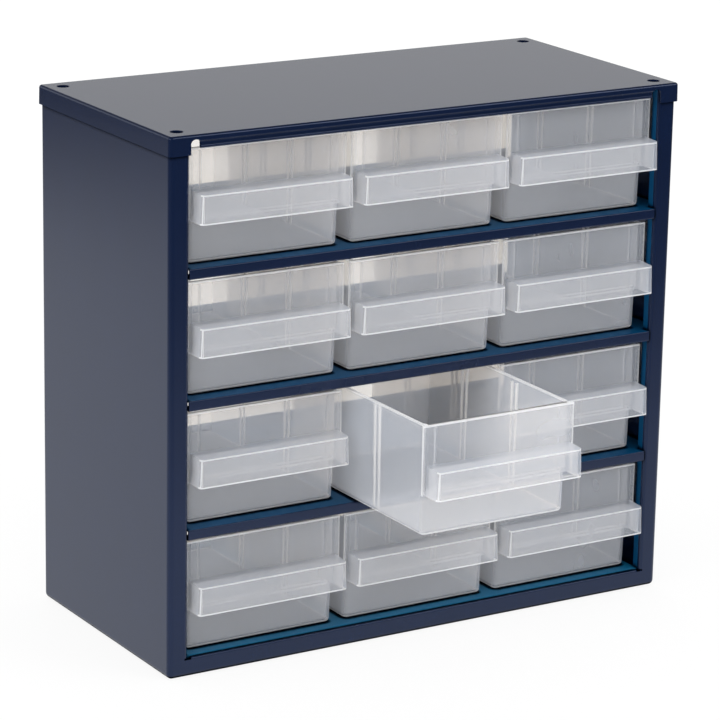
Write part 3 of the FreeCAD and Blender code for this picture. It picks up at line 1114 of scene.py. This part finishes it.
    def is_edge(self, at: Vector, facing: Vector) -> bool:
        """Tell whether a face shows the plastic's thickness and takes the painted highlight along the
        edges.

        Args:
            at: The face's middle.
            facing: Its normal.

        Returns:
            True for the rims, the upright corners, the foot, the hood's edges and the divider ribs.
        """
        on_rim = at.z > self.height - self.edge_glow
        on_rib_end = facing.z > SQUARELY and at.z > self.height - self.rib_drop - NEAR
        rib_span = self.rib_pitch * self.rib_pairs - self.rib_pitch / 2
        on_rib = abs(facing.y) > SQUARELY and 0 < at.y - self.rib_first + NEAR < rib_span
        on_panel_end = abs(facing.x) > SQUARELY and abs(at.x) > self.panel_half - NEAR
        on_hood_foot = facing.z < -SQUARELY and meets(at.z, self.hood_foot) and at.y < -self.wall / 2
        between_hood_edges = self.hood_foot + self.hood_glow < at.z < self.hood_top - self.hood_glow
        on_hood_edge = self.around_hood(at, facing) and not between_hood_edges
        on_foot = NEAR < at.z < self.foot_glow and self.foot_turn[0] < facing.z < self.foot_turn[1]
        on_corner = min(abs(facing.x), abs(facing.y)) > self.corner_turn
        return (on_rim or on_rib_end or on_rib or on_panel_end or on_hood_foot or on_hood_edge or on_foot
                or on_corner)

    def model(self) -> Piece:
        """Model the drawer that the twelve are copied from.

        Returns:
            The finished mould, which isn't part of the cabinet.
        """
        drawer = self.mould_tub()
        Bench.combine(drawer, self.mould_hood(), "UNION")
        self.hollow_out(drawer)
        self.add_ribs(drawer)
        Bench.tidy(drawer)
        Bench.ease_rims(drawer, self.edge_ease, self.edge_angle)
        self.show_edges(drawer)
        Bench.smooth(drawer)
        return drawer

    def cast(self, mould: Piece, node: str) -> Piece:
        """Copy the mould to a node's place and stand it for the node.

        Args:
            mould: The modelled drawer.
            node: The frame's node, which is also its body.

        Returns:
            The drawer in its place.
        """
        low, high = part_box(node)
        place = Vector(((low.x + high.x) / 2, low.y + self.hood_reach, low.z))
        drawer = Bench.copy(mould, "moulded_" + node, place)
        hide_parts(node)
        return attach(drawer, node)


@dataclass(frozen=True)
class Lamp:
    """A soft box: its place, what it looks at, its sides, its power in watts, and if gloss shows it."""

    name: str
    place: Point
    target: Point
    sides: Span
    power: float
    mirrored: bool = True

    def hang(self) -> None:
        """Hang the lamp and turn it to its target."""
        light = bpy.data.lights.new(self.name, "AREA")
        light.shape = "RECTANGLE"
        light.size, light.size_y = self.sides
        light.energy = self.power
        lamp = bpy.data.objects.new(self.name, light)
        bpy.context.scene.collection.objects.link(lamp)
        lamp.visible_camera = False
        lamp.visible_glossy = self.mirrored
        lamp.location = self.place
        way = Vector(self.target) - Vector(self.place)
        lamp.rotation_euler = way.to_track_quat("-Z", "Y").to_euler()


@dataclass
class Studio:
    """White floor and background, soft lamps and the camera."""

    lamps: tuple[Lamp, ...] = (
        Lamp("top_box", (0.0, 0.1, 1.9), (0.0, 0.0, 0.1), (2.4, 2.4), 8.0, mirrored=False),
        Lamp("key_box", (-1.9, -0.5, 0.9), (0.0, 0.0, 0.15), (1.2, 1.2), 13.0),
        Lamp("front_box", (1.25, -1.65, 1.5), (0.0, 0.0, 0.15), (1.2, 0.9), 15.0),
        Lamp("low_box", (-0.5, -2.1, 0.5), (0.0, 0.0, 0.12), (1.4, 0.6), 6.0, mirrored=False),
        Lamp("back_box", (0.4, 2.1, 0.7), (0.0, 0.0, 0.15), (1.6, 1.0), 16.0, mirrored=False),
    )
    floor_half: float = 4.0
    floor_drop: float = 0.1 * MM
    floor_colour: Colour = (0.86, 0.86, 0.86)
    floor_white: float = 0.88
    table_centre: Span = (0.0, 0.35)
    table_fade: Span = (0.65, 1.2)
    ambient: float = 0.9
    gloss_white: float = 0.92
    table_white: float = 1.0
    gloss_dark: float = 0.06
    gloss_fade: Span = (0.1, 0.55)
    gloss_top: Span = (0.28, 0.45)
    camera_place: Point = (-0.9151, -1.4929, 0.6345)
    azimuth: float = math.radians(31.588)
    elevation: float = math.radians(15.943)
    roll: float = math.radians(1.092)
    focal_pixels: float = 3395.1
    image_pixels: float = 720.0
    axis_pixel: Span = (361.3, 354.3)
    sensor: float = 36.0
    clip_start: float = 0.05
    see_through_bounces: int = 32

    def lay_floor(self) -> None:
        """Lay the white floor, which keeps the cabinet's soft shadow.

        In gloss it is a white table whose edge fades into a darker room.
        """
        bpy.ops.object.select_all(action="DESELECT")
        bpy.ops.mesh.primitive_plane_add(size=2 * self.floor_half, location=(0, 0, -self.floor_drop))
        floor = bpy.context.object
        floor.name = "studio_floor"
        board = NodeBoard("studio_white")
        matte = board.add("ShaderNodeBsdfDiffuse", Color=(*self.floor_colour, 1.0))
        white = board.add("ShaderNodeEmission", Color=WHITE, Strength=1.0)
        rays = board.add("ShaderNodeLightPath")
        share = board.add("ShaderNodeMath", {"operation": "MULTIPLY"}, _0=rays.outputs["Is Camera Ray"],
                          _1=self.floor_white)
        seen = board.add("ShaderNodeMixShader", _0=share.outputs[0], _1=matte.outputs[0],
                         _2=white.outputs[0])
        away = board.add("ShaderNodeVectorMath", {"operation": "DISTANCE"}, _0=board.place(),
                         _1=(*self.table_centre, 0.0))
        near, far = self.table_fade
        table = board.add("ShaderNodeMapRange", Value=away.outputs["Value"], From_Min=near, From_Max=far,
                          To_Min=self.table_white, To_Max=self.gloss_dark)
        table_gloss = board.add("ShaderNodeEmission", Color=WHITE, Strength=table.outputs[0])
        mixed = board.add("ShaderNodeMixShader", _0=rays.outputs["Is Glossy Ray"], _1=seen.outputs[0],
                          _2=table_gloss.outputs[0])
        floor.data.materials.append(board.finish(mixed.outputs[0]))
        board.material.cycles.emission_sampling = "NONE"

    def light_world(self) -> None:
        """Make the world white to the eye, a low white backdrop in gloss, and dimmer as a light."""
        world = bpy.data.worlds.new("studio_world")
        bpy.context.scene.world = world
        world.use_nodes = True
        world.cycles.sampling_method = "NONE"
        board = NodeBoard.on(world.node_tree)
        rays = board.add("ShaderNodeLightPath")
        towards = board.add("ShaderNodeSeparateXYZ",
                            Vector=board.add("ShaderNodeTexCoord").outputs["Generated"])
        low = board.add("ShaderNodeMapRange", Value=towards.outputs["Z"], From_Min=self.gloss_top[0],
                        From_Max=self.gloss_top[1], To_Min=self.gloss_white, To_Max=self.gloss_dark)
        gloss = board.add("ShaderNodeMapRange", Value=towards.outputs["Y"], From_Min=self.gloss_fade[0],
                          From_Max=self.gloss_fade[1], To_Min=self.gloss_dark, To_Max=low.outputs[0])
        dim = board.add("ShaderNodeMix", {"data_type": "FLOAT"}, _0=rays.outputs["Is Glossy Ray"],
                        _2=self.ambient, _3=gloss.outputs[0])
        strength = board.add("ShaderNodeMath", {"operation": "MAXIMUM"}, _0=dim.outputs[0],
                             _1=rays.outputs["Is Camera Ray"])
        background = board.add("ShaderNodeBackground", Color=WHITE, Strength=strength.outputs[0])
        board.add("ShaderNodeOutputWorld", Surface=background.outputs[0])

    def set_camera(self) -> None:
        """Stand the camera where the photograph was taken from."""
        data = bpy.data.cameras.new("photo_camera")
        data.sensor_width = self.sensor
        data.lens = self.focal_pixels / self.image_pixels * self.sensor
        middle = self.image_pixels / 2
        data.shift_x = (middle - self.axis_pixel[0]) / self.image_pixels
        data.shift_y = (self.axis_pixel[1] - middle) / self.image_pixels
        data.clip_start = self.clip_start
        camera = bpy.data.objects.new("photo_camera", data)
        bpy.context.scene.collection.objects.link(camera)
        turn = (Matrix.Rotation(-self.azimuth, 4, "Z")
                @ Matrix.Rotation(math.pi / 2 - self.elevation, 4, "X")
                @ Matrix.Rotation(self.roll, 4, "Z"))
        camera.matrix_world = Matrix.Translation(self.camera_place) @ turn
        bpy.context.scene.camera = camera

    def build(self) -> None:
        """Set the whole studio up."""
        scene = bpy.context.scene
        scene.view_settings.view_transform = "Standard"
        scene.cycles.transparent_max_bounces = self.see_through_bounces
        self.lay_floor()
        self.light_world()
        for lamp in self.lamps:
            lamp.hang()
        self.set_camera()


@dataclass
class PartsCabinet:
    """The whole cabinet, dressed node by node."""

    rows: tuple[str, ...] = ("bottom", "lower", "upper", "top")
    columns: tuple[str, ...] = ("left", "middle", "right")
    outer: PowderCoat = PowderCoat()
    # Painted light: a lighter, more saturated copy of the navy for the faces inside the case, standing
    # in for the light let in through the milky drawers.
    painted_lit_inside: PowderCoat = PowderCoat("painted_lit_inside_powder_coat", deep=(0.0010, 0.046, 0.120),
                                       bright=(0.0014, 0.060, 0.152), roughness=0.5, ior=1.2)
    # Painted light and painted sparkle: a much brighter copy of the paint for the floor panel, whose
    # fine speckle of bright blue stands in for light glinting on the orange peel.
    painted_lit_floor: PowderCoat = PowderCoat("painted_lit_floor_powder_coat", deep=(0.0020, 0.062, 0.150),
                                      bright=(0.0055, 0.150, 0.280), roughness=0.45, ior=1.3,
                                      cloud_scale=1300.0)
    wall: MilkyPlastic = MilkyPlastic("milky_wall", haze=0.22)
    # Partly painted highlight: a whiter, more opaque plastic for the rims and corners, for the thickness
    # seen end on and for the bright lines where light gathers at the edges.
    edge: MilkyPlastic = MilkyPlastic("milky_edge_with_painted_highlight", haze=0.6, tint=(0.94, 0.955, 0.985), glow=0.3)

    @staticmethod
    def report(piece: Piece) -> None:
        """Report a finished piece."""
        log.info("%s: %d faces", piece.name, len(piece.data.polygons))

    def build_steelwork(self) -> None:
        """Build the case, the lid, the floor panel and the shelves."""
        paint = (self.outer.build(), self.painted_lit_inside.build())
        self.report(CabinetCase(*paint).model())
        self.report(PressedLid(*paint).model())
        # The floor panel's faces get the painted light of the brighter floor coat.
        self.report(FloorPanel(paint[0], self.painted_lit_floor.build()).model())
        for row in self.rows[1:]:
            self.report(Shelf(*paint).model(f"{row}_shelf"))

    def build_drawers(self) -> None:
        """Mould one drawer and copy it to each of the twelve places."""
        drawer = Drawer(self.wall.build(), self.edge.build())
        mould = drawer.model()
        for row in self.rows:
            for column in self.columns:
                self.report(drawer.cast(mould, f"drawer_{row}_{column}"))
        bpy.data.objects.remove(mould)


def main() -> None:
    """Build the cabinet and its studio."""
    logging.basicConfig(level=logging.INFO, format="%(name)s: %(message)s")
    cabinet = PartsCabinet()
    cabinet.build_steelwork()
    cabinet.build_drawers()
    Studio().build()


if __name__ == "__main__":
    main()
